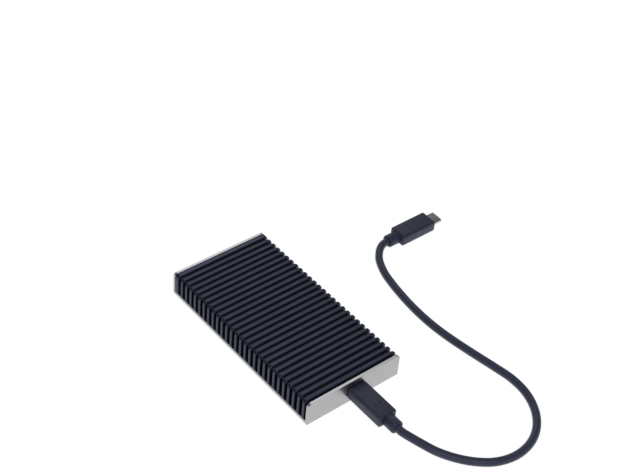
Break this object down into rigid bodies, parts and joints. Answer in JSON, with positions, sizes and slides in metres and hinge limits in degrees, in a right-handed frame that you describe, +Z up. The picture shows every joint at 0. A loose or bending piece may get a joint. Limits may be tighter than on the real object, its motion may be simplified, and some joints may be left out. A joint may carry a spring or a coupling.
{
  "type": "solid state drive",
  "caption": "Slim portable solid state drive: ribbed dark metal shell on a silver tray, with a data port in the front plate and a short detachable lead with a plug at each end.",
  "frame": {"origin": "centre of the drive's footprint, on the surface it stands on", "axes": "+Y along the drive from the port end to the rear, +Z up, +X across the drive, towards the side that the lead sweeps round"},
  "size_m": [0.1511, 0.1845, 0.0135],
  "materials": {
    "dark_anodised": "dark blue-grey anodised, satin",
    "satin_silver": "silver anodised, satin",
    "screw_steel": "plated",
    "plated_steel": "bright nickel plating",
    "board": "solder mask over glass-fibre board",
    "chip": "moulded, matt black",
    "ferrite": "sintered, matt grey",
    "ceramic": "sintered, tan",
    "led": "clear moulded",
    "pad": "soft silicone, matt",
    "film": "thin amber film",
    "brass": "turned",
    "plug": "moulded, satin dark grey",
    "jacket": "extruded, satin dark grey"
  },
  "bodies": {
    "drive": {"base_tray": "satin_silver", "heatsink_shell": "dark_anodised", "case_screw_front_left": "screw_steel", "case_screw_front_right": "screw_steel", "case_screw_rear_left": "screw_steel", "case_screw_rear_right": "screw_steel", "board_screw_front_left": "screw_steel", "board_screw_front_right": "screw_steel", "board_screw_rear_left": "screw_steel", "board_screw_rear_right": "screw_steel", "usb_receptacle_shell": "plated_steel", "usb_receptacle_tongue": "chip", "insulating_sheet": "film", "bridge_pcb": "board", "bridge_controller": "chip", "firmware_flash": "chip", "clock_crystal": "plated_steel", "power_inductor": "ferrite", "input_capacitor": "ceramic", "output_capacitor": "ceramic", "status_led": "led", "m2_socket": "chip", "m2_module_pcb": "board", "ssd_controller": "chip", "dram_package": "chip", "nand_package_front": "chip", "nand_package_rear": "chip", "power_manager": "chip", "m2_standoff": "brass", "m2_screw": "plated_steel", "thermal_pad": "pad"},
    "lead": {"near_plug_overmold": "plug", "near_plug_boot": "plug", "near_plug_shell": "plated_steel", "near_plug_insulator": "chip", "far_plug_overmold": "plug", "far_plug_boot": "plug", "far_plug_shell": "plated_steel", "far_plug_insulator": "chip", "cable_jacket": "jacket"}
  },
  "joints": [
    {"name": "plug_pull", "type": "slide", "parent": "drive", "child": "lead", "axis": [0, -1, 0], "range_m": [0, 0.02]}
  ]
}
